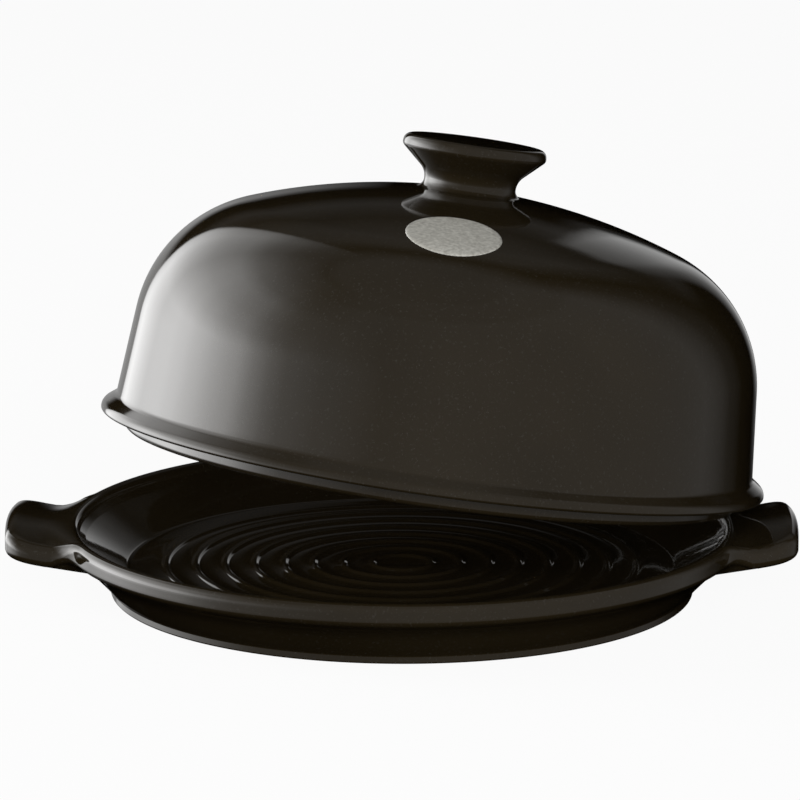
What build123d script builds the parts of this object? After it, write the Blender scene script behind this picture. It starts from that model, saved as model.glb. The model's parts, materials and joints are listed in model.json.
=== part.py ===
from build123d import *
import os
from math import acos, atan, atan2, cos, degrees, hypot, radians, sin

# Bread cloche: a glazed stoneware dish with two side tabs, and a domed lid with a knob.
# Millimetres and degrees. The origin is the centre of the dish's foot, on the surface that it stands on.
# +Z is up, +X points to the right-hand tab, and the side with the label faces -Y.
# The lid stands tipped open. It swings down to its seat on the rim about one level line behind the dish.

# Rim of the dish
rim_outer_radius = 143.2
rim_height = 29.3
rim_thickness = 6.6
rim_top_flat = 0.2
rim_round = (rim_thickness - rim_top_flat) / 2
rim_band_height = 8.5
skirt_height = rim_height - rim_band_height
skirt_round = 1.6

# Outer wall of the dish, from the skirt under the rim down to the foot
waist_radius = rim_outer_radius - 9.2
waist_height = skirt_height - 4.8
waist_round = 2.4
belly_low_radius = rim_outer_radius - 16.6
belly_low_height = 6.6
belly_low_round = 3.0

# Foot of the dish
foot_radius = rim_outer_radius - 19.6
foot_land_width = 13.0
foot_recess = 1.6
foot_height = 3.2
foot_edge_round = 0.8

# Inside of the dish
rim_inner_run = 0.8
rim_inner_depth = rim_round + rim_inner_run
rim_inner_round = 0.8
seat_wall_drop = 2.4
seat_wall_inset = 2.7
seat_wall_round = 6.0
floor_height = 10.4
floor_radius = rim_outer_radius - 27.2
floor_round = 9.0
floor_rib_pitch = 12.5
floor_rib_width = 5.0
floor_rib_height = 1.0
floor_rib_margin = 2.0
floor_rib_room = floor_radius - floor_round - floor_rib_margin - floor_rib_width / 2
floor_rib_count = int(floor_rib_room // floor_rib_pitch)

# Side tabs
tab_reach = rim_outer_radius + 24.3
tab_half_width = 40.0
tab_corner_radius = 13.0
tab_root_round = 20.0
tab_root_sink = 1.2
tab_valley_radius = rim_outer_radius + 8.0
tab_valley_height = rim_height - 3.8
tab_tip_rise = 1.6
tab_tip_height = rim_height + tab_tip_rise
tab_tip_thickness = 10.4
tab_tip_underside = tab_tip_height - tab_tip_thickness
tab_under_slope = 0.235
tab_edge_flat = 5.6
tab_edge_round = (tab_tip_thickness - tab_edge_flat) / 2

# Lid: locating ring and bead
ring_side_clearance = 5.8
ring_outer_radius = rim_outer_radius - rim_thickness - ring_side_clearance
ring_thickness = 5.2
ring_depth = 6.2
ring_edge_round = 2.2
ring_root_round = 1.0
bead_setback = 1.7
bead_radius = rim_outer_radius - bead_setback
bead_height = 7.4
bead_low_round = 1.2
bead_top_round = 3.8
bead_foot_round = 3.0
bead_shoulder_drop = 4.2

# Lid: wall, shoulder arc and crown arc
wall_radius = bead_radius - 5.0
wall_taper = 0.095
wall_inner_start = 18.0
shell_thickness = 7.2
shoulder_arc_radius = 60.6
crown_arc_radius = 272.3
dome_height = 112.2

# Lid: knob
neck_radius = 19.5
neck_height = 6.9
neck_foot_round = 3.4
neck_foot_land = 0.6
neck_throat_round = 7.4
knob_radius = 30.6
knob_height = 21.6
knob_band_height = 4.6
knob_rim_height = knob_height - knob_band_height
knob_crown = 0.5
knob_edge_lean = 0.5
knob_edge_round = 2.1

# Label: a thin round patch of enamel on the front of the dome
label_radius = 19.8
label_thickness = 0.3
label_angle = 72.5
label_azimuth = -94.1

# Seat and swing of the lid
seat_clearance = 0.3
closed_shift_x = -0.13
closed_shift_y = -3.9
swing_azimuth = 36.0
swing_line_reach = 172.48
swing_line_height = -50.18
tip_angle = 9.7

# Cutting tools reach this far past what they cut
overrun = 10.0


def dish_outer_points():
    """Outside of the dish as (radius, height), from the middle of the underside to the outer top of the rim."""
    land_inner_radius = foot_radius - foot_land_width
    return [
        (0, foot_recess),
        (land_inner_radius - foot_recess, foot_recess),
        (land_inner_radius, 0),
        (foot_radius, 0),
        (foot_radius, foot_height),
        (belly_low_radius, belly_low_height),
        (waist_radius, waist_height),
        (rim_outer_radius, skirt_height),
        (rim_outer_radius, rim_height),
    ]


def dish_inner_points():
    """Inside of the dish as (radius, height), from the inner top of the rim to the edge of the ribbed floor."""
    rim_inner_radius = rim_outer_radius - rim_thickness
    return [
        (rim_inner_radius, rim_height),
        (rim_inner_radius, rim_height - rim_inner_depth),
        (rim_inner_radius - seat_wall_inset, rim_height - rim_inner_depth - seat_wall_drop),
        (floor_radius, floor_height),
        (floor_radius - floor_round, floor_height),
    ]


def ribs_from(start):
    """The ribbed floor, drawn inwards from the start point to the axis."""
    at = start
    for k in reversed(range(floor_rib_count)):
        middle = floor_rib_pitch * (k + 1)
        outer = (middle + floor_rib_width / 2, floor_height)
        inner = (middle - floor_rib_width / 2, floor_height)
        Line(at, outer)
        ThreePointArc(outer, (middle, floor_height + floor_rib_height), inner)
        at = inner
    Line(at, (0, floor_height))


def make_dish_body():
    """The round dish without its tabs, as one turned solid."""
    outer = dish_outer_points()
    inner = dish_inner_points()
    outer_rounds = [0, foot_edge_round, foot_edge_round, foot_edge_round, belly_low_round, waist_round,
                    skirt_round, rim_round]
    inner_rounds = [rim_round, rim_inner_round, seat_wall_round, floor_round / 2]
    with BuildPart() as dish:
        with BuildSketch(Plane.XZ):
            with BuildLine():
                FilletPolyline(*outer, *inner, radius=outer_rounds + inner_rounds)
                ribs_from(inner[-1])
                Line((0, floor_height), outer[0])
            make_face()
        revolve(axis=Axis.Z)
    return dish.part


def make_dish_hollow():
    """The space inside the dish and above its rim, up to the middle of the rim's top."""
    inner = dish_inner_points()
    crest_radius = rim_outer_radius - rim_thickness / 2
    top = rim_height + overrun
    with BuildPart() as hollow:
        with BuildSketch(Plane.XZ):
            with BuildLine():
                FilletPolyline((0, top), (crest_radius, top), (crest_radius, rim_height), *inner, (0, floor_height),
                               radius=[0, 0, rim_round, rim_inner_round, seat_wall_round, 0, 0])
                Line((0, floor_height), (0, top))
            make_face()
        revolve(axis=Axis.Z)
    return hollow.part


def make_tab_plan():
    """Plan outline of the right-hand tab: round outer corners, and hollow curves where it meets the rim."""
    root_circle = rim_outer_radius - tab_root_sink
    touch_share = root_circle / (root_circle + tab_root_round)
    touch_y = (tab_half_width + tab_root_round) * touch_share
    with BuildSketch() as plan:
        Rectangle(tab_reach, tab_half_width * 2, align=(Align.MIN, Align.CENTER))
        fillet(plan.vertices().group_by(Axis.X)[-1], tab_corner_radius)
        Circle(root_circle)
        meeting_x = (root_circle ** 2 - tab_half_width ** 2) ** 0.5
        meetings = [(meeting_x, tab_half_width), (meeting_x, -tab_half_width)]
        fillet([plan.vertices().sort_by_distance(point)[0] for point in meetings], tab_root_round)
        Rectangle(tab_reach, touch_y * 2, align=(Align.MIN, Align.CENTER), mode=Mode.INTERSECT)
    return plan.sketch


def make_tab_flange():
    """A turned flange with the tab's section: a valley beside the rim, a raised tip and a sloping underside."""
    crest_radius = rim_outer_radius - rim_thickness / 2
    inner_radius = crest_radius - rim_round
    far_radius = hypot(tab_reach, tab_half_width) + overrun
    root_underside = tab_tip_underside - tab_under_slope * (tab_reach - belly_low_radius)
    far_underside = tab_tip_underside + tab_under_slope * (far_radius - tab_reach)
    with BuildPart() as flange:
        with BuildSketch(Plane.XZ):
            with BuildLine():
                Line((inner_radius, rim_height), (crest_radius, rim_height))
                Spline((crest_radius, rim_height), (tab_valley_radius, tab_valley_height),
                       (tab_reach, tab_tip_height), tangents=[(1, 0), (1, 0)])
                Polyline((tab_reach, tab_tip_height), (far_radius, tab_tip_height), (far_radius, far_underside),
                         (belly_low_radius, root_underside), (inner_radius, rim_height))
            make_face()
        revolve(axis=Axis.Z)
    return flange.part


def outline_edges(tab, upper):
    """The edges round a tab's upright sides, on its top (upper) or its underside."""
    found = []
    for face in tab.faces():
        middle = face.center()
        upright = abs(face.normal_at(middle).Z) < 0.01
        if not upright or hypot(middle.X, middle.Y) < rim_outer_radius:
            continue
        for edge in face.edges():
            start = edge.position_at(0)
            end = edge.position_at(1)
            runs_along = hypot(start.X - end.X, start.Y - end.Y) > tab_edge_round / 10
            if runs_along and (edge.center().Z > middle.Z) == upper:
                found.append(edge)
    return found


def make_base_dish():
    """The dish with both tabs, one casting."""
    tab = make_tab_flange() & extrude(make_tab_plan(), amount=rim_height + overrun)
    tab = fillet(outline_edges(tab, upper=True), tab_edge_round)
    tab = fillet(outline_edges(tab, upper=False), tab_edge_round)
    tab = tab - make_dish_hollow()
    return make_dish_body() + tab + mirror(tab, about=Plane.YZ)


def wall_at(height):
    """Outer radius of the lid's wall at a height above the seat."""
    return wall_radius - wall_taper * height


def arc_centres():
    """Centres of the shoulder arc, which touches the wall and the crown arc, and of the crown arc."""
    crown = (0, dome_height - crown_arc_radius)
    slant = hypot(1, wall_taper)
    inset = wall_radius - shoulder_arc_radius * slant
    gap = crown_arc_radius - shoulder_arc_radius
    half = inset * wall_taper + crown[1]
    rest = half ** 2 - slant ** 2 * (inset ** 2 + crown[1] ** 2 - gap ** 2)
    height = (half + rest ** 0.5) / slant ** 2
    return (inset - wall_taper * height, height), crown


def dome_point(depth, angle):
    """Point of the dome at a depth under its outside, where its surface faces an angle above level."""
    shoulder, crown = arc_centres()
    if angle < crown_start():
        centre = shoulder
        reach = shoulder_arc_radius - depth
    else:
        centre = crown
        reach = crown_arc_radius - depth
    return (centre[0] + reach * cos(radians(angle)), centre[1] + reach * sin(radians(angle)))


def wall_angle():
    """The angle above level that the wall faces."""
    return degrees(atan(wall_taper))


def crown_start():
    """The angle above level at which the shoulder arc passes into the crown arc."""
    shoulder, crown = arc_centres()
    return degrees(atan2(shoulder[1] - crown[1], shoulder[0]))


def crown_end(radius):
    """The angle above level that the crown's outside faces at a radius."""
    return degrees(acos(radius / crown_arc_radius))


def shoulder_arc(depth):
    """The shoulder of the dome, at a depth under its outside, from the wall up to the crown."""
    start = dome_point(depth, wall_angle())
    middle = dome_point(depth, (wall_angle() + crown_start()) / 2)
    shoulder, crown = arc_centres()
    reach = crown_arc_radius - depth
    turn = radians(crown_start())
    end = (crown[0] + reach * cos(turn), crown[1] + reach * sin(turn))
    return ThreePointArc(start, middle, end)


def crown_arc(depth, end_angle):
    """The crown of the dome, at a depth under its outside, from the shoulder up to an angle."""
    start = dome_point(depth, crown_start())
    middle = dome_point(depth, (crown_start() + end_angle) / 2)
    return ThreePointArc(start, middle, dome_point(depth, end_angle))


def knob_points():
    """Knob from the foot of its neck to the middle of its top."""
    foot_radius_on_crown = neck_radius + neck_foot_round + neck_foot_land
    foot = dome_point(0, crown_end(foot_radius_on_crown))
    corner = dome_point(0, crown_end(neck_radius))
    top = foot[1] + knob_height
    return [
        foot,
        corner,
        (neck_radius, foot[1] + neck_height),
        (knob_radius, foot[1] + knob_rim_height),
        (knob_radius - knob_edge_lean, top),
        (0, top + knob_crown),
    ]


def lid_bottom_points():
    """Locating ring, seat and bead, from the inner foot of the wall to the foot of the shoulder."""
    ring_inner_radius = ring_outer_radius - ring_thickness
    bead_top = bead_height - bead_shoulder_drop
    wall_inset = shell_thickness * hypot(1, wall_taper)
    return [
        dome_point(shell_thickness, wall_angle()),
        (wall_at(wall_inner_start) - wall_inset, wall_inner_start),
        (ring_inner_radius, -ring_depth + ring_edge_round * 2),
        (ring_inner_radius, -ring_depth),
        (ring_outer_radius, -ring_depth),
        (ring_outer_radius, 0),
        (bead_radius, 0),
        (bead_radius, bead_top),
        (wall_at(bead_height), bead_height),
        dome_point(0, wall_angle()),
    ]


def make_lid_in_its_frame():
    """The lid about its own axis, with its seat at height zero."""
    knob = knob_points()
    upright = 90
    with BuildPart() as lid:
        with BuildSketch(Plane.XZ):
            with BuildLine():
                FilletPolyline(*lid_bottom_points(),
                               radius=[0, ring_edge_round, ring_edge_round, ring_edge_round, ring_root_round,
                                       bead_low_round, bead_top_round, bead_foot_round])
                shoulder_arc(0)
                crown_arc(0, crown_end(knob[0][0]))
                FilletPolyline(*knob, radius=[neck_foot_round, neck_throat_round, knob_edge_round, knob_edge_round])
                Line(knob[-1], dome_point(shell_thickness, upright))
                crown_arc(shell_thickness, upright)
                shoulder_arc(shell_thickness)
            make_face()
        revolve(axis=Axis.Z)
    return lid.part


def make_dome_block(grown):
    """Solid space under the dome's outside, grown outwards, from the shoulder up to the crown's middle."""
    start = dome_point(-grown, wall_angle())
    upright = 90
    top = dome_point(-grown, upright)
    with BuildPart() as block:
        with BuildSketch(Plane.XZ):
            with BuildLine():
                shoulder_arc(-grown)
                crown_arc(-grown, upright)
                Polyline(top, (0, start[1]), start)
            make_face()
        revolve(axis=Axis.Z)
    return block.part


def make_label_in_lid_frame():
    """The label: a round patch of the dome's own surface, one enamel layer thick."""
    turn = radians(label_azimuth)
    tilt = radians(label_angle)
    reach, height = dome_point(0, label_angle)
    foot = Vector(reach * cos(turn), reach * sin(turn), height)
    outward = Vector(cos(tilt) * cos(turn), cos(tilt) * sin(turn), sin(tilt))
    with BuildPart() as punch:
        with BuildSketch(Plane(origin=foot - outward * overrun, z_dir=outward)):
            Circle(label_radius)
        extrude(amount=overrun * 2)
    return (make_dome_block(label_thickness) - make_dome_block(0)) & punch.part


def swing_line():
    """The level line that the lid swings about."""
    turn = radians(swing_azimuth)
    point = (swing_line_reach * cos(turn), swing_line_reach * sin(turn), swing_line_height)
    return Axis(point, (-sin(turn), cos(turn), 0))


def tip_open(piece):
    """Set a piece of the lid on its seat, then swing it up to the tipped position."""
    seated = Pos(closed_shift_x, closed_shift_y, rim_height + seat_clearance) * piece
    return seated.rotate(swing_line(), tip_angle)


def save(piece, name):
    """Write one piece as a file of its own."""
    export_step(piece, "parts/" + name + ".step")


os.makedirs("parts", exist_ok=True)
save(make_base_dish(), "base_dish")
save(tip_open(make_lid_in_its_frame()), "lid_dome")
save(tip_open(make_label_in_lid_frame()), "lid_label")
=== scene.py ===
"""Looks of the bread cloche: glazed dish, tipped lid and bare label, with a plain studio round them."""

import json
from math import acos, atan2, cos, degrees, hypot, pi, radians, sin, sqrt, tan

import bpy
import numpy as np
from mathutils import Matrix, Vector


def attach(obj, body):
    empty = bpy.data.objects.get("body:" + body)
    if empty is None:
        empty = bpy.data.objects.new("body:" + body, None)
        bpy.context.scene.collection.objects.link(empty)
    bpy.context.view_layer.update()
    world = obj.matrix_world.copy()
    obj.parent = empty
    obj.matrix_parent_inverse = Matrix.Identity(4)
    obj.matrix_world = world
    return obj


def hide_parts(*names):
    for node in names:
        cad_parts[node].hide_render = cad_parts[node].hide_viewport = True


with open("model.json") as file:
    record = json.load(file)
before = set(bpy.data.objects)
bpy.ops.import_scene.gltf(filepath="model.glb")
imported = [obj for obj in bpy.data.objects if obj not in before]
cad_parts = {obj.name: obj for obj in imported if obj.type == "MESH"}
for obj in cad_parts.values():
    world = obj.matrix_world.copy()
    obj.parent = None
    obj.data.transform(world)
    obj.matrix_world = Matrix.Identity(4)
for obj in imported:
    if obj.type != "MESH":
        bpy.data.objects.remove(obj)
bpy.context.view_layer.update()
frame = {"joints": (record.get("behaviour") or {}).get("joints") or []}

# Lengths of the cloche and the camera's place are in millimetres, and meshes are made in metres
MM = 0.001

# Dish: foot, outer wall and rim
FOOT_RADIUS = 123.6
FOOT_LAND_WIDTH = 13.0
FOOT_RECESS = 1.6
FOOT_HEIGHT = 3.2
BELLY_LOW = (126.6, 6.6)
BELLY_ROUND = 3.0
FOOT_ROUND = 0.8
WAIST = (134.0, 16.0)
RIM_HEIGHT = 29.3
RIM_RADIUS = 143.2
RIM_THICKNESS = 6.6
CREST_RADIUS = RIM_RADIUS - RIM_THICKNESS / 2
RIM_ROUND = 3.2
SKIRT_HEIGHT = 20.8
SKIRT_ROUND = 1.6

# Dish: inside
RIM_INNER_DEPTH = 4.0
RIM_INNER_ROUND = 0.8
SEAT_WALL = (133.9, 22.9)
SEAT_WALL_ROUND = 6.0
FLOOR_HEIGHT = 10.4
FLOOR_RADIUS = 116.0
FLOOR_RUN = 9.0
FLOOR_ROUND = 4.5
RIB_COUNT = 8
RIB_PITCH = 12.5
RIB_WIDTH = 5.0
RIB_HEIGHT = 1.0

# Dish: side tabs
TAB_REACH = 167.5
TAB_HALF_WIDTH = 40.0
TAB_CORNER_RADIUS = 13.0
TAB_ROOT_ROUND = 16.0
TAB_END_BOW = 1.2
TAB_RISE_START = 145.5
TAB_TIP_HEIGHT = 33.4
TAB_TIP_SLOPE = 0.25
TAB_CROWN = 3.9
TAB_CROWN_START = 152.0
TAB_TIP_THICKNESS = 12.9
TAB_UNDER_SLOPE = 0.19
TAB_EDGE_ROUND = 3.0
TAB_SHOULDER_RUN = 5.5
TAB_SHOULDER_DROP = 4.2
TAB_PLUMP_RUN = 16.0
TAB_UPPER_RUN = 4.5
TAB_UNDER_RUN = 10.0

# Lid: locating ring, bead, wall and dome, with heights from the seat
RING_RADIUS = 130.8
RING_THICKNESS = 5.2
RING_DEPTH = 6.2
RING_ROUND = 2.2
BEAD_RADIUS = 141.5
BEAD_HEIGHT = 7.4
BEAD_SHOULDER_DROP = 4.2
BEAD_FOOT_ROUND = 3.0
BEAD_TOP_ROUND = 3.8
BEAD_LOW_ROUND = 1.2
RING_ROOT_ROUND = 1.0
WALL_RADIUS = 136.5
WALL_TAPER = 0.095
WALL_INNER_START = 18.0
WALL_INNER_LOW_ROUND = 3.0
WALL_INNER_ROUND = 20.0
SHELL_THICKNESS = 7.2
SHOULDER_ARC_RADIUS = 60.6
CROWN_ARC_RADIUS = 272.3
DOME_HEIGHT = 112.2

# Lid: knob
NECK_RADIUS = 19.5
NECK_HEIGHT = 6.9
NECK_FOOT_ROUND = 3.4
NECK_FOOT_LAND = 0.6
NECK_THROAT_ROUND = 7.4
KNOB_RADIUS = 30.6
KNOB_HEIGHT = 21.6
KNOB_RIM_HEIGHT = 17.0
KNOB_CROWN = 0.7
KNOB_EDGE_LEAN = 0.5
KNOB_TOP_ROUND = 3.2
KNOB_LOW_ROUND = 2.4

# Label
LABEL_RADIUS = 19.8
LABEL_THICKNESS = 0.3
LABEL_ANGLE = 72.5
LABEL_AZIMUTH = -94.1
LABEL_EDGE_SHARE = 0.985
LABEL_EDGE_POWER = 60

# Seat of the closed lid
SEAT_CLEARANCE = 0.3
CLOSED_SHIFT = (-0.13, -3.9)

# Glaze. Colours are linear red, green, blue and alpha, a noise has its scale in cells per metre,
# and the depth of the orange peel is in metres.
GLAZE_ROUGHNESS = 0.06
GLAZE_IOR = 1.5
GLAZE_DARK = (0.0135, 0.0095, 0.0042, 1)
GLAZE_LIGHT = (0.0175, 0.0125, 0.0060, 1)
CLOUD_SCALE = 18.0
CLOUD_DETAIL = 3.0
SPECK_COLOUR = (0.026, 0.022, 0.016, 1)
SPECK_SCALE = 900.0
SPECK_DETAIL = 2.0
SPECK_RANGE = (0.60, 0.75)
PEEL_SCALE = 220.0
PEEL_DETAIL = 1.0
PEEL_STRENGTH = 0.025
PEEL_DEPTH = 0.0004

# Enamel of the label
ENAMEL_ROUGHNESS = 0.35
ENAMEL_DARK = (0.33, 0.32, 0.285, 1)
ENAMEL_LIGHT = (0.56, 0.55, 0.50, 1)
GRAIN_SCALE = 650.0
GRAIN_DETAIL = 3.0

# Share of a noise at which the dark colour ends and the light one begins
TONE_RANGE = (0.3, 0.7)

# Mesh density
ARC_STEP = 6.0
RUN_STEP = 2.5
LID_SEGMENTS = 256
DOME_STEP = 2.1
OUTLINE_STEP = 2.5
KNOB_STEP = 1.2
INSIDE_STEP = 2.0
FOOT_STEP = 4.0
DOME_SAMPLES = 700
RIB_STEPS = 8
SURFACE_STEPS = 14
EDGE_STEPS = 10
SIDE_STEPS = 4
LABEL_RINGS = 24
LABEL_SEGMENTS = 128
DOME_TRIES = 12
DOME_TRY_SHARE = 0.8
AXIS_GAP = 1.0
LID_AXIS_GAP = 0.05

# Camera, fitted to the photograph's outlines
CAMERA_PLACE = (3.531, -2122.066, 553.476)
CAMERA_PITCH = 12.542
CAMERA_YAW = -0.119
CAMERA_ROLL = 0.088
CAMERA_LENS_PIXELS = 5151.971
PHOTO_PIXELS = 800
SENSOR_WIDTH = 36.0
CAMERA_CLIP_END = 20.0

# Studio. Turns are in degrees from straight behind the cloche, positive to the left of the camera, and
# rises are in degrees above level. A TURN or RISE list has (degrees, level), where a level of 1 is white.
# A LEAN list has (rise, degrees that are added to the turn).
PANEL_LEAN = ((-90, 0), (7, 0), (20, 3.5), (90, 3.5))
PANEL_TURN = (
    (24.8, 0),
    (25.4, 2.3),
    (31, 3.4),
    (48, 4.1),
    (61, 6.3),
    (70, 7.1),
    (81, 6.7),
    (91, 5.5),
    (100, 4.4),
    (107, 2.8),
    (115, 1.5),
    (122, 0.85),
    (137, 0.35),
    (160, 0),
)
PANEL_RISE = (
    (-34, 0),
    (-24, 0.04),
    (-14, 0.42),
    (-6, 1),
    (10, 1),
    (20, 0.68),
    (30, 0.46),
    (40, 0.34),
    (47, 0.17),
    (55, 0.08),
    (66, 0),
)
EDGE_TURN = ((0, 0), (6, 0.4), (24.5, 0.5), (25.5, 0))
EDGE_RISE = ((-19, 0), (-14, 1), (2, 1), (7, 0))
BACK_TURN = ((-40, 0), (-24, 1), (24, 1), (40, 0))
BACK_RISE = ((14, 0), (20, 0.05), (28, 0.02), (40, 0.09), (50, 0.1), (60, 0))
STRIP_LEAN = ((-90, 0), (8, 0), (24, 3.6), (90, 3.6))
STRIP_TURN = (
    (-22, 0),
    (-20.5, 0.07),
    (-19, 0.14),
    (-17, 0.21),
    (-15, 0.34),
    (-13, 0.48),
    (-10, 0.66),
    (-9.2, 0.66),
    (-8.4, 0),
)
STRIP_RISE = ((-14, 0), (-9, 1), (9, 1), (15, 0.75), (20, 0.5), (24, 0.4), (26.5, 0))
ROOM_TURN = (
    (-180, 0.33),
    (-110, 0.33),
    (-70, 0.3),
    (-52, 0.05),
    (-40, 0),
    (40, 0),
    (100, 0.1),
    (140, 0.3),
    (180, 0.33),
)
ROOM_RISE = ((-28, 0), (-16, 1), (55, 1), (72, 0.15), (90, 0))
CEILING_RISE = ((-90, 0), (58, 0), (70, 0.2), (90, 0.24))

# Fields of light that are summed: levels by turn, levels by rise, and any lean of the turns by rise
STUDIO_FIELDS = (
    (PANEL_TURN, PANEL_RISE, PANEL_LEAN),
    (EDGE_TURN, EDGE_RISE, None),
    (BACK_TURN, BACK_RISE, None),
    (STRIP_TURN, STRIP_RISE, STRIP_LEAN),
    (ROOM_TURN, ROOM_RISE, None),
)
TURN_LIMIT = 180
RISE_LIMIT = 90

# Floor, sky and lamps, in metres and watts
WHITE = (1, 1, 1, 1)
FLOOR_COLOUR = (0.8, 0.8, 0.8, 1)
FLOOR_GLOW_SHARE = 0.94
FLOOR_HALF = 30.0
SKY_LIGHT = 0.2
LAMP_TARGET = Vector((0, 0, 0.09))
LEFT_LAMP = {"place": (-1.6, 0.3, 0.5), "size": (1.0, 1.4), "power": 25}
FRONT_LAMP = {"place": (0.3, -2.4, 0.7), "size": (1.6, 1.2), "power": 60}


def rounded_path(points, radii, run_step=RUN_STEP):
    """A polyline through (radius, height) points with its corners rounded, and long runs divided."""
    path = []
    for k, point in enumerate(points):
        here = Vector(point)
        if k in (0, len(points) - 1) or radii[k] == 0:
            path.append(here)
            continue
        before = (Vector(points[k - 1]) - here).normalized()
        after = (Vector(points[k + 1]) - here).normalized()
        half = before.angle(after) / 2
        reach = radii[k] / tan(half)
        centre = here + (before + after).normalized() * radii[k] / sin(half)
        start = here + before * reach - centre
        end = here + after * reach - centre
        sweep = start.angle(end)
        steps = max(3, int(degrees(sweep) / ARC_STEP))
        for j in range(steps + 1):
            t = j / steps
            blend = (start * sin((1 - t) * sweep) + end * sin(t * sweep)) / sin(sweep)
            path.append(centre + blend)
    divided = [path[0]]
    for point in path[1:]:
        run = (point - divided[-1]).length
        pieces = max(1, int(run / run_step))
        start = divided[-1]
        divided += [start.lerp(point, (j + 1) / pieces) for j in range(pieces)]
    return [tuple(p) for p in divided]


def resampled(points, step):
    """The same curve with its points at even distances."""
    curve = np.array(points, float)
    lengths = np.concatenate([[0], np.cumsum(np.linalg.norm(np.diff(curve, axis=0), axis=1))])
    at = np.linspace(0, lengths[-1], max(2, int(lengths[-1] / step)))
    across = np.interp(at, lengths, curve[:, 0])
    up = np.interp(at, lengths, curve[:, 1])
    return [(float(r), float(z)) for r, z in zip(across, up)]


def make_piece(name, points, faces, body, node, material):
    """A smooth mesh from points in millimetres, which rides on its body and stands for its CAD node."""
    mesh = bpy.data.meshes.new(name)
    mesh.from_pydata([tuple(p) for p in np.array(points) * MM], [], faces)
    mesh.validate()
    mesh.polygons.foreach_set("use_smooth", [True] * len(mesh.polygons))
    mesh.materials.append(material)
    piece = bpy.data.objects.new(name, mesh)
    bpy.context.scene.collection.objects.link(piece)
    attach(piece, body)
    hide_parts(node)
    return piece


def closed_rows(rows):
    """Points and faces of a closed skin, whose rows go round it and each run from its top to its bottom.

    Faces point outwards where a row goes down the outside and the rows follow each other anticlockwise.
    """
    count = len(rows)
    columns = len(rows[0])
    points = [p for row in rows for p in row]
    starts = [(i * columns, ((i + 1) % count) * columns) for i in range(count)]
    faces = [(a + j, a + j + 1, b + j + 1, b + j) for a, b in starts for j in range(columns - 1)]
    for column in (0, columns - 1):
        middle = len(points)
        points.append(tuple(np.mean([row[column] for row in rows], axis=0)))
        for a, b in starts:
            edge = (a + column, b + column)
            faces.append((*edge, middle) if column == 0 else (*reversed(edge), middle))
    return points, faces


def wall_at(height):
    """Radius of the dome's straight wall at a height."""
    return WALL_RADIUS - WALL_TAPER * height


def arc_centres():
    """Centres of the shoulder arc, which touches the wall and the crown arc, and of the crown arc."""
    crown = (0, DOME_HEIGHT - CROWN_ARC_RADIUS)
    slant = hypot(1, WALL_TAPER)
    inset = WALL_RADIUS - SHOULDER_ARC_RADIUS * slant
    gap = CROWN_ARC_RADIUS - SHOULDER_ARC_RADIUS
    half = inset * WALL_TAPER + crown[1]
    apart = inset ** 2 + crown[1] ** 2 - gap ** 2
    height = (half + sqrt(half ** 2 - slant ** 2 * apart)) / slant ** 2
    return (inset - WALL_TAPER * height, height), crown


SHOULDER_CENTRE, CROWN_CENTRE = arc_centres()
WALL_ANGLE = degrees(atan2(WALL_TAPER, 1))
STRAIGHT_UP = 90
CROWN_START = degrees(atan2(SHOULDER_CENTRE[1] - CROWN_CENTRE[1], SHOULDER_CENTRE[0]))


def dome_point(depth, angle):
    """Point of the dome at a depth under its outside, where its surface faces an angle above level."""
    if angle < CROWN_START:
        centre = SHOULDER_CENTRE
        reach = SHOULDER_ARC_RADIUS - depth
    else:
        centre = CROWN_CENTRE
        reach = CROWN_ARC_RADIUS - depth
    return (centre[0] + reach * cos(radians(angle)), centre[1] + reach * sin(radians(angle)))


def crown_end(radius):
    """The angle above level that the crown's outside faces at a radius."""
    return degrees(acos(radius / CROWN_ARC_RADIUS))


def dome_height_at(radius):
    """Height of the dome's outside at a radius, on the crown or the shoulder."""
    if radius < dome_point(0, CROWN_START)[0]:
        return CROWN_CENTRE[1] + sqrt(CROWN_ARC_RADIUS ** 2 - radius ** 2)
    return SHOULDER_CENTRE[1] + sqrt(SHOULDER_ARC_RADIUS ** 2 - (radius - SHOULDER_CENTRE[0]) ** 2)


def dome_run(depth, start, end):
    """Points of the dome between two facing angles, at even distances."""
    angles = np.linspace(start, end, DOME_SAMPLES)
    return resampled([dome_point(depth, angle) for angle in angles], DOME_STEP)


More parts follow.
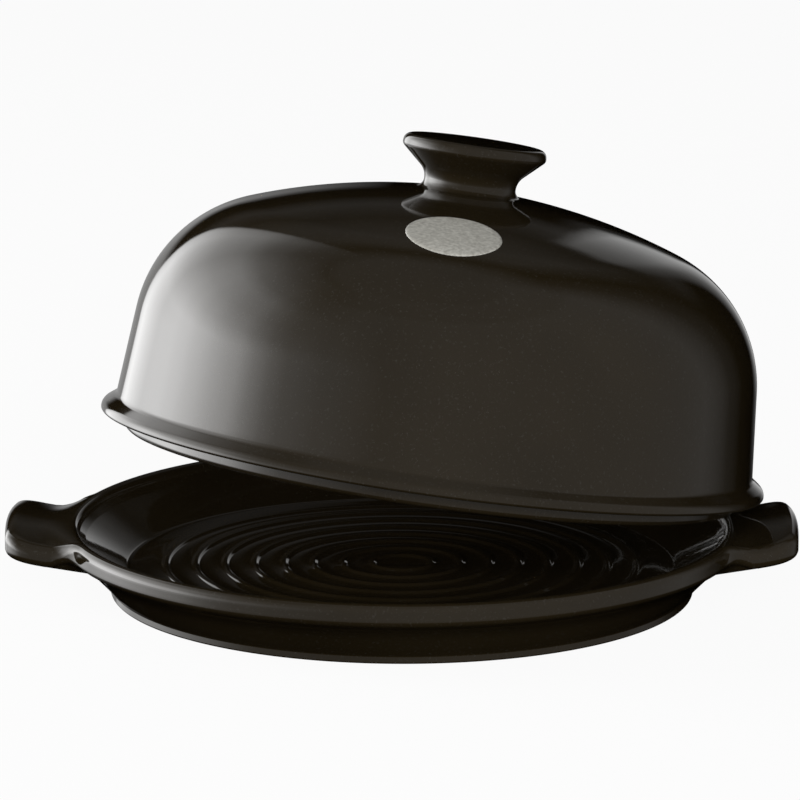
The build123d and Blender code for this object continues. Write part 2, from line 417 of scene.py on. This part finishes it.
def lid_profile():
    """The lid's section, from the middle of the knob's top, down the outside and back up the inside."""
    foot = dome_point(0, crown_end(NECK_RADIUS + NECK_FOOT_ROUND + NECK_FOOT_LAND))
    top = foot[1] + KNOB_HEIGHT
    knob = rounded_path(
        [
            (0, top + KNOB_CROWN),
            (KNOB_RADIUS - KNOB_EDGE_LEAN, top),
            (KNOB_RADIUS, foot[1] + KNOB_RIM_HEIGHT),
            (NECK_RADIUS, foot[1] + NECK_HEIGHT),
            dome_point(0, crown_end(NECK_RADIUS)),
            foot,
        ],
        [0, KNOB_TOP_ROUND, KNOB_LOW_ROUND, NECK_THROAT_ROUND, NECK_FOOT_ROUND, 0],
        run_step=KNOB_STEP,
    )
    outside = dome_run(0, crown_end(foot[0]), WALL_ANGLE)
    bead_top = BEAD_HEIGHT - BEAD_SHOULDER_DROP
    ring_inner = RING_RADIUS - RING_THICKNESS
    wall_inset = SHELL_THICKNESS * hypot(1, WALL_TAPER)
    bottom = rounded_path(
        [
            dome_point(0, WALL_ANGLE),
            (wall_at(BEAD_HEIGHT), BEAD_HEIGHT),
            (BEAD_RADIUS, bead_top),
            (BEAD_RADIUS, 0),
            (RING_RADIUS, 0),
            (RING_RADIUS, -RING_DEPTH),
            (ring_inner, -RING_DEPTH),
            (ring_inner, -RING_DEPTH + RING_ROUND * 2),
            (wall_at(WALL_INNER_START) - wall_inset, WALL_INNER_START),
            dome_point(SHELL_THICKNESS, WALL_ANGLE),
        ],
        [
            0,
            BEAD_FOOT_ROUND,
            BEAD_TOP_ROUND,
            BEAD_LOW_ROUND,
            RING_ROOT_ROUND,
            RING_ROUND,
            RING_ROUND,
            WALL_INNER_LOW_ROUND,
            WALL_INNER_ROUND,
            0,
        ],
        run_step=INSIDE_STEP,
    )
    inside = dome_run(SHELL_THICKNESS, WALL_ANGLE, STRAIGHT_UP)
    return knob + outside[1:] + bottom[1:] + inside[1:]


def lid_matrix():
    """From the lid's own frame to its place at rest: seated, then swung by the joint's closing travel."""
    joint = frame["joints"][0]
    axis = Vector(joint["axis"])
    pivot = Vector(joint["pos_m"])
    shift = Vector(CLOSED_SHIFT) * MM
    seated = Matrix.Translation((shift.x, shift.y, (RIM_HEIGHT + SEAT_CLEARANCE) * MM))
    swing = Matrix.Rotation(radians(-joint["range_deg"][0]), 4, axis)
    return Matrix.Translation(pivot) @ swing @ Matrix.Translation(-pivot) @ seated


def placed(points, matrix):
    """Points in millimetres moved by a matrix that is in metres."""
    turn = np.array(matrix.to_3x3())
    shift = np.array(matrix.translation) / MM
    return np.array(points, float) @ turn.T + shift


def make_lid(material):
    """The lid, turned from its section and put in its place at rest."""
    profile = [p for p in lid_profile() if p[0] > LID_AXIS_GAP]
    rows = []
    for i in range(LID_SEGMENTS):
        turn = 2 * pi * i / LID_SEGMENTS
        rows.append([(r * cos(turn), r * sin(turn), z) for r, z in profile])
    points, faces = closed_rows(rows)
    points = placed(points, lid_matrix())
    return make_piece("lid_shell", points, faces, "lid", "lid_dome", material)


def make_label(material):
    """A round enamel patch that lies on the dome, thinning to nothing at its edge."""
    turn = radians(LABEL_AZIMUTH)
    tilt = radians(LABEL_ANGLE)
    reach, height = dome_point(0, LABEL_ANGLE)
    radial = np.array([cos(turn), sin(turn), 0])
    across = np.array([-sin(turn), cos(turn), 0])
    outward = radial * cos(tilt) + np.array([0, 0, sin(tilt)])
    down = np.cross(across, outward)
    centre = radial * reach + np.array([0, 0, height])

    def on_dome(point, lift):
        """The point moved along the patch's normal on to the dome's surface, then lifted off it."""
        for _ in range(DOME_TRIES):
            gap = point[2] - dome_height_at(hypot(point[0], point[1]))
            point = point - outward * gap * DOME_TRY_SHARE
        return point + outward * lift

    points = [centre + outward * LABEL_THICKNESS]
    for k in range(1, LABEL_RINGS + 2):
        share = min(1.0, k / LABEL_RINGS)
        edge = max(0.0, 1 - (share / LABEL_EDGE_SHARE) ** LABEL_EDGE_POWER)
        lift = LABEL_THICKNESS * sqrt(edge) if k <= LABEL_RINGS else -LABEL_THICKNESS
        for i in range(LABEL_SEGMENTS):
            a = 2 * pi * i / LABEL_SEGMENTS
            flat = centre + (across * cos(a) + down * sin(a)) * LABEL_RADIUS * share
            points.append(on_dome(flat, lift))
    faces = []
    for i in range(LABEL_SEGMENTS):
        following = (i + 1) % LABEL_SEGMENTS
        faces.append((0, 1 + following, 1 + i))
        for k in range(LABEL_RINGS):
            a = 1 + k * LABEL_SEGMENTS
            b = a + LABEL_SEGMENTS
            faces.append((a + i, a + following, b + following, b + i))
    last = 1 + LABEL_RINGS * LABEL_SEGMENTS
    faces.append(tuple(last + i for i in range(LABEL_SEGMENTS)))
    points = placed(points, lid_matrix())
    return make_piece("label_patch", points, faces, "lid", "lid_label", material)


def tab_outline():
    """Plan outline of the whole dish as (point, inward normal) at even steps."""
    root_x = sqrt((RIM_RADIUS + TAB_ROOT_ROUND) ** 2 - (TAB_HALF_WIDTH + TAB_ROOT_ROUND) ** 2)
    root = Vector((root_x, TAB_HALF_WIDTH + TAB_ROOT_ROUND))
    root_angle = atan2(root.y, root.x)
    corner = Vector((TAB_REACH - TAB_END_BOW - TAB_CORNER_RADIUS, TAB_HALF_WIDTH - TAB_CORNER_RADIUS))
    quarter = []

    def arc(centre, radius, start, end, hollow):
        """Points along an arc, with normals away from its centre where the dish is outside the arc."""
        steps = max(2, int(abs(end - start) * radius / OUTLINE_STEP))
        for j in range(steps):
            a = start + (end - start) * j / steps
            away = Vector((cos(a), sin(a)))
            quarter.append((centre + away * radius, away if hollow else -away))

    def run(start, end, normal):
        """Points along a straight edge."""
        steps = max(1, int((end - start).length / OUTLINE_STEP))
        for j in range(steps):
            quarter.append((start.lerp(end, j / steps), normal))

    bow_radius = (corner.y ** 2 + TAB_END_BOW ** 2) / (2 * TAB_END_BOW)
    bow_angle = atan2(corner.y, bow_radius - TAB_END_BOW)
    arc(Vector((TAB_REACH - bow_radius, 0)), bow_radius, 0, bow_angle, False)
    arc(corner, TAB_CORNER_RADIUS, bow_angle, pi / 2, False)
    run(Vector((corner.x, TAB_HALF_WIDTH)), Vector((root_x, TAB_HALF_WIDTH)), Vector((0, -1)))
    arc(root, TAB_ROOT_ROUND, -pi / 2, root_angle - pi, True)
    arc(Vector((0, 0)), RIM_RADIUS, root_angle, pi / 2, False)
    ends = [(Vector((0, RIM_RADIUS)), Vector((0, -1)))]
    half = quarter + ends + [(Vector((-p.x, p.y)), Vector((-n.x, n.y))) for p, n in reversed(quarter)]
    return half + [(Vector((p.x, -p.y)), Vector((n.x, -n.y))) for p, n in reversed(half[1:-1])]


def smooth_share(value, low, high):
    """A smooth step from 0 at the low end of a range to 1 at its high end."""
    t = min(1.0, max(0.0, (value - low) / (high - low)))
    return t * t * (3 - 2 * t)


def hermite(x, a, b, slope_a, slope_b):
    """Height of the cubic between two (x, height) points with given end slopes."""
    width = b[0] - a[0]
    t = min(1.0, max(0.0, (x - a[0]) / width))
    return (
        a[1] * (2 * t ** 3 - 3 * t ** 2 + 1)
        + b[1] * (-2 * t ** 3 + 3 * t ** 2)
        + width * (slope_a * (t ** 3 - 2 * t ** 2 + t) + slope_b * (t ** 3 - t ** 2))
    )


def top_height(point, share):
    """Upper surface from the rim's crest outwards, on the level rim (0) or a tab with its crown (1)."""
    radius = point.length
    if radius <= CREST_RADIUS:
        return RIM_HEIGHT
    tip = (TAB_REACH, TAB_TIP_HEIGHT - RIM_HEIGHT)
    rise = hermite(radius, (TAB_RISE_START, 0), tip, 0, TAB_TIP_SLOPE)
    fade = smooth_share(radius, CREST_RADIUS, TAB_CROWN_START)
    fall = TAB_CROWN * (point.y / TAB_HALF_WIDTH) ** 2 * fade
    return RIM_HEIGHT + (rise - fall) * share


def under_height(radius, share):
    """Under surface from the waist outwards, on the plain skirt (0) or a tab (1)."""
    skirt_slope = (SKIRT_HEIGHT - WAIST[1]) / (RIM_RADIUS - WAIST[0])
    skirt = WAIST[1] + (radius - WAIST[0]) * skirt_slope
    tab = TAB_TIP_HEIGHT - TAB_TIP_THICKNESS - TAB_UNDER_SLOPE * (TAB_REACH - radius)
    return skirt + (tab - skirt) * share


def rim_row(point, normal):
    """Points from the rim's crest, over the outline's rounded edge, and back under to the waist."""
    radius = point.length
    azimuth = point.normalized()
    share = smooth_share(radius, RIM_RADIUS, RIM_RADIUS + TAB_UPPER_RUN)
    low_share = smooth_share(radius, RIM_RADIUS, RIM_RADIUS + TAB_UNDER_RUN)
    crest = azimuth * CREST_RADIUS
    upper = top_height(point, share)
    lower = under_height(radius, low_share)
    thick = upper - lower
    plump = smooth_share(radius, RIM_RADIUS, RIM_RADIUS + TAB_PLUMP_RUN)
    top_run = RIM_ROUND + (TAB_SHOULDER_RUN - RIM_ROUND) * plump
    top_drop = RIM_ROUND + (TAB_SHOULDER_DROP - RIM_ROUND) * plump
    low_round = SKIRT_ROUND + (min(TAB_EDGE_ROUND, thick - top_drop) - SKIRT_ROUND) * share
    row = []
    start = point + normal * top_run
    for j in range(SURFACE_STEPS):
        p = crest.lerp(start, j / SURFACE_STEPS)
        row.append((p.x, p.y, top_height(p, share)))
    for j in range(EDGE_STEPS + 1):
        a = (pi / 2) * j / EDGE_STEPS
        p = point + normal * top_run * (1 - sin(a))
        row.append((p.x, p.y, top_height(p, share) - top_drop * (1 - cos(a))))
    side_top = upper - top_drop
    side_low = lower + low_round
    for j in range(1, SIDE_STEPS):
        z = side_top + (side_low - side_top) * j / SIDE_STEPS
        row.append((point.x, point.y, z))
    for j in range(EDGE_STEPS + 1):
        a = (pi / 2) * j / EDGE_STEPS
        p = point + normal * low_round * (1 - cos(a))
        row.append((p.x, p.y, under_height(p.length, low_share) + low_round * (1 - sin(a))))
    under_start = Vector(row[-1][:2])
    waist = azimuth * WAIST[0]
    for j in range(1, SURFACE_STEPS + 1):
        p = under_start.lerp(waist, j / SURFACE_STEPS)
        row.append((p.x, p.y, under_height(p.length, low_share)))
    return row


def inside_profile():
    """The dish's inside as (radius, height), from the middle of its floor to the rim's crest."""
    rim_inner = RIM_RADIUS - RIM_THICKNESS
    ribs = []
    for k in range(RIB_COUNT):
        middle = RIB_PITCH * (k + 1)
        for j in range(RIB_STEPS + 1):
            x = -1 + 2 * j / RIB_STEPS
            ribs.append((middle + x * RIB_WIDTH / 2, FLOOR_HEIGHT + RIB_HEIGHT * (1 + cos(pi * x)) / 2))
    outer = rounded_path(
        [
            (FLOOR_RADIUS - FLOOR_RUN, FLOOR_HEIGHT),
            (FLOOR_RADIUS, FLOOR_HEIGHT),
            SEAT_WALL,
            (rim_inner, RIM_HEIGHT - RIM_INNER_DEPTH),
            (rim_inner, RIM_HEIGHT),
            (CREST_RADIUS, RIM_HEIGHT),
        ],
        [0, FLOOR_ROUND, SEAT_WALL_ROUND, RIM_INNER_ROUND, RIM_ROUND, 0],
        run_step=INSIDE_STEP,
    )
    return [(AXIS_GAP, FLOOR_HEIGHT)] + ribs + outer


def under_profile():
    """The dish's underside as (radius, height), from the waist to the middle of the foot."""
    land_inner = FOOT_RADIUS - FOOT_LAND_WIDTH
    return rounded_path(
        [
            WAIST,
            BELLY_LOW,
            (FOOT_RADIUS, FOOT_HEIGHT),
            (FOOT_RADIUS, 0),
            (land_inner, 0),
            (land_inner - FOOT_RECESS, FOOT_RECESS),
            (AXIS_GAP, FOOT_RECESS),
        ],
        [0, BELLY_ROUND, FOOT_ROUND, FOOT_ROUND, FOOT_ROUND, FOOT_ROUND, 0],
        run_step=FOOT_STEP,
    )


def make_dish(material):
    """The dish, in rows that go over the inside, the rim or a tab, and the underside.

    Up to the seat wall the rows stand at even azimuths, and at the rim they are at the outline's own.
    """
    inside = inside_profile()
    under = under_profile()
    outline = tab_outline()
    rows = []
    for i, (point, normal) in enumerate(outline):
        azimuth = point.normalized()
        even = 2 * pi * i / len(outline)
        lag = (atan2(point.y, point.x) - even + pi) % (2 * pi) - pi
        row = []
        for r, z in inside[:-1]:
            turn = even + lag * smooth_share(z, SEAT_WALL[1], RIM_HEIGHT)
            row.append((r * cos(turn), r * sin(turn), z))
        row += rim_row(point, normal)
        drop = row[-1][2] - WAIST[1]
        for r, z in under[1:]:
            fade = smooth_share(z, BELLY_LOW[1], WAIST[1])
            row.append((azimuth.x * r, azimuth.y * r, z + drop * fade))
        rows.append(row)
    points, faces = closed_rows(rows)
    return make_piece("dish_shell", points, faces, "dish", "base_dish", material)


def new_material(name):
    """A material with its node tree and its shader."""
    material = bpy.data.materials.new(name)
    material.use_nodes = True
    tree = material.node_tree
    return material, tree, tree.nodes["Principled BSDF"]


def add_noise(tree, place, scale, detail):
    """The value of a noise over the object's own coordinates."""
    noise = tree.nodes.new("ShaderNodeTexNoise")
    noise.inputs["Scale"].default_value = scale
    noise.inputs["Detail"].default_value = detail
    tree.links.new(place.outputs["Object"], noise.inputs["Vector"])
    return noise.outputs["Fac"]


def add_tone(tree, value, dark, light):
    """A colour that goes from dark to light with a value."""
    tone = tree.nodes.new("ShaderNodeValToRGB")
    for element, position, colour in zip(tone.color_ramp.elements, TONE_RANGE, (dark, light)):
        element.position = position
        element.color = colour
    tree.links.new(value, tone.inputs["Fac"])
    return tone.outputs["Color"]


def make_glaze(name):
    """Charcoal glaze: near black, glossy, with a faint orange-peel skin and fine pale specks."""
    material, tree, shader = new_material(name)
    shader.inputs["Roughness"].default_value = GLAZE_ROUGHNESS
    shader.inputs["IOR"].default_value = GLAZE_IOR
    place = tree.nodes.new("ShaderNodeTexCoord")
    clouds = add_noise(tree, place, CLOUD_SCALE, CLOUD_DETAIL)
    specks = add_noise(tree, place, SPECK_SCALE, SPECK_DETAIL)
    peel = add_noise(tree, place, PEEL_SCALE, PEEL_DETAIL)
    mask = tree.nodes.new("ShaderNodeMapRange")
    mask.inputs["From Min"].default_value = SPECK_RANGE[0]
    mask.inputs["From Max"].default_value = SPECK_RANGE[1]
    mix = tree.nodes.new("ShaderNodeMix")
    mix.data_type = "RGBA"
    mix.inputs["B"].default_value = SPECK_COLOUR
    bump = tree.nodes.new("ShaderNodeBump")
    bump.inputs["Strength"].default_value = PEEL_STRENGTH
    bump.inputs["Distance"].default_value = PEEL_DEPTH
    tree.links.new(specks, mask.inputs["Value"])
    tree.links.new(mask.outputs["Result"], mix.inputs["Factor"])
    tree.links.new(add_tone(tree, clouds, GLAZE_DARK, GLAZE_LIGHT), mix.inputs["A"])
    tree.links.new(mix.outputs["Result"], shader.inputs["Base Color"])
    tree.links.new(peel, bump.inputs["Height"])
    tree.links.new(bump.outputs["Normal"], shader.inputs["Normal"])
    return material


def make_enamel():
    """Grey enamel of the bare label, with a fine grain."""
    material, tree, shader = new_material("label_enamel")
    shader.inputs["Roughness"].default_value = ENAMEL_ROUGHNESS
    place = tree.nodes.new("ShaderNodeTexCoord")
    grain = add_noise(tree, place, GRAIN_SCALE, GRAIN_DETAIL)
    tree.links.new(add_tone(tree, grain, ENAMEL_DARK, ENAMEL_LIGHT), shader.inputs["Base Color"])
    return material


def make_camera():
    """The camera where the photograph was taken from."""
    data = bpy.data.cameras.new("camera")
    data.sensor_width = SENSOR_WIDTH
    data.lens = SENSOR_WIDTH * CAMERA_LENS_PIXELS / PHOTO_PIXELS
    data.clip_end = CAMERA_CLIP_END
    camera = bpy.data.objects.new("camera", data)
    pitch = radians(CAMERA_PITCH)
    yaw = radians(CAMERA_YAW)
    forward = Vector((sin(yaw) * cos(pitch), cos(yaw) * cos(pitch), -sin(pitch)))
    right = Vector((cos(yaw), -sin(yaw), 0))
    up = right.cross(forward)
    roll = radians(CAMERA_ROLL)
    rolled_right = right * cos(roll) + up * sin(roll)
    rolled_up = up * cos(roll) - right * sin(roll)
    turn = Matrix((rolled_right, rolled_up, -forward)).transposed().to_4x4()
    camera.matrix_world = Matrix.Translation(Vector(CAMERA_PLACE) * MM) @ turn
    bpy.context.scene.collection.objects.link(camera)
    bpy.context.scene.camera = camera


def add_area(name, place, size, power):
    """An area lamp that faces the middle of the cloche and isn't seen in its glaze."""
    data = bpy.data.lights.new(name, "AREA")
    data.shape = "RECTANGLE"
    data.size, data.size_y = size
    data.energy = power
    lamp = bpy.data.objects.new(name, data)
    away = Vector(place) - LAMP_TARGET
    lamp.matrix_world = Matrix.Translation(place) @ away.to_track_quat("Z", "Y").to_matrix().to_4x4()
    lamp.visible_glossy = False
    bpy.context.scene.collection.objects.link(lamp)


def add_math(tree, operation, first, second=None):
    """A math node on one or two sockets or numbers."""
    node = tree.nodes.new("ShaderNodeMath")
    node.operation = operation
    for k, value in enumerate((first, second)):
        if isinstance(value, (int, float)):
            node.inputs[k].default_value = value
        elif value is not None:
            tree.links.new(value, node.inputs[k])
    return node.outputs[0]


def add_curve(tree, angle, limit, points):
    """A level that follows (angle, level) points, with straight runs between them, up to a limit."""
    scaled = add_math(tree, "DIVIDE", add_math(tree, "SUBTRACT", angle, -limit), 2 * limit)
    ramp = tree.nodes.new("ShaderNodeValToRGB")
    peak = max(level for _, level in points)
    elements = ramp.color_ramp.elements
    while len(elements) < len(points):
        elements.new(1)
    for element, (place, level) in zip(elements, points):
        element.position = (place + limit) / (2 * limit)
        element.color = (level / peak, level / peak, level / peak, 1)
    tree.links.new(scaled, ramp.inputs["Fac"])
    return add_math(tree, "MULTIPLY", ramp.outputs["Color"], peak)


def studio_level(tree, split):
    """Brightness of the studio in each direction: its ceiling and the fields of light that are summed."""
    left = add_math(tree, "MULTIPLY", split.outputs["X"], -1)
    turn = add_math(tree, "MULTIPLY", add_math(tree, "ARCTAN2", left, split.outputs["Y"]), degrees(1))
    rise = add_math(tree, "MULTIPLY", add_math(tree, "ARCSINE", split.outputs["Z"]), degrees(1))
    total = add_curve(tree, rise, RISE_LIMIT, CEILING_RISE)
    for turn_levels, rise_levels, lean in STUDIO_FIELDS:
        leaning = turn
        if lean:
            leaning = add_math(tree, "ADD", turn, add_curve(tree, rise, RISE_LIMIT, lean))
        along = add_curve(tree, leaning, TURN_LIMIT, turn_levels)
        upwards = add_curve(tree, rise, RISE_LIMIT, rise_levels)
        total = add_math(tree, "ADD", total, add_math(tree, "MULTIPLY", along, upwards))
    return total


def make_world():
    """White for the camera, the studio in reflections, and a plain dim light for everything else."""
    world = bpy.data.worlds.new("world")
    bpy.context.scene.world = world
    world.use_nodes = True
    tree = world.node_tree
    background = tree.nodes["Background"]
    path = tree.nodes.new("ShaderNodeLightPath")
    place = tree.nodes.new("ShaderNodeTexCoord")
    split = tree.nodes.new("ShaderNodeSeparateXYZ")
    tree.links.new(place.outputs["Generated"], split.inputs[0])
    seen = add_math(tree, "MAXIMUM", path.outputs["Is Camera Ray"], path.outputs["Is Transmission Ray"])
    mirrored = add_math(tree, "MULTIPLY", studio_level(tree, split), path.outputs["Is Glossy Ray"])
    above = add_math(tree, "GREATER_THAN", split.outputs["Z"], 0)
    from_above = add_math(tree, "MULTIPLY", above, path.outputs["Is Diffuse Ray"])
    soft = add_math(tree, "MULTIPLY", from_above, SKY_LIGHT)
    level = add_math(tree, "ADD", add_math(tree, "ADD", mirrored, seen), soft)
    tree.links.new(level, background.inputs["Strength"])
    background.inputs["Color"].default_value = WHITE


def make_floor():
    """A plain white floor that keeps the soft shadow, and that the glaze doesn't mirror."""
    mesh = bpy.data.meshes.new("floor")
    corners = [(x * FLOOR_HALF, y * FLOOR_HALF, 0) for x, y in ((-1, -1), (1, -1), (1, 1), (-1, 1))]
    mesh.from_pydata(corners, [], [(0, 1, 2, 3)])
    floor = bpy.data.objects.new("floor", mesh)
    bpy.context.scene.collection.objects.link(floor)
    floor.visible_glossy = False
    floor.visible_diffuse = False
    material = bpy.data.materials.new("floor")
    material.use_nodes = True
    tree = material.node_tree
    tree.nodes.clear()
    path = tree.nodes.new("ShaderNodeLightPath")
    matte = tree.nodes.new("ShaderNodeBsdfDiffuse")
    matte.inputs["Color"].default_value = FLOOR_COLOUR
    glow = tree.nodes.new("ShaderNodeEmission")
    glow.inputs["Color"].default_value = WHITE
    mix = tree.nodes.new("ShaderNodeMixShader")
    output = tree.nodes.new("ShaderNodeOutputMaterial")
    seen = add_math(tree, "MULTIPLY", path.outputs["Is Camera Ray"], FLOOR_GLOW_SHARE)
    tree.links.new(seen, mix.inputs[0])
    tree.links.new(matte.outputs[0], mix.inputs[1])
    tree.links.new(glow.outputs[0], mix.inputs[2])
    tree.links.new(mix.outputs[0], output.inputs[0])
    mesh.materials.append(material)


make_camera()
make_world()
make_floor()
dish_glaze = make_glaze("dish_glaze")
lid_glaze = make_glaze("lid_glaze")
enamel = make_enamel()
make_dish(dish_glaze)
make_lid(lid_glaze)
make_label(enamel)
add_area("left_lamp", **LEFT_LAMP)
add_area("front_lamp", **FRONT_LAMP)

bpy.context.scene.view_settings.view_transform = "Standard"
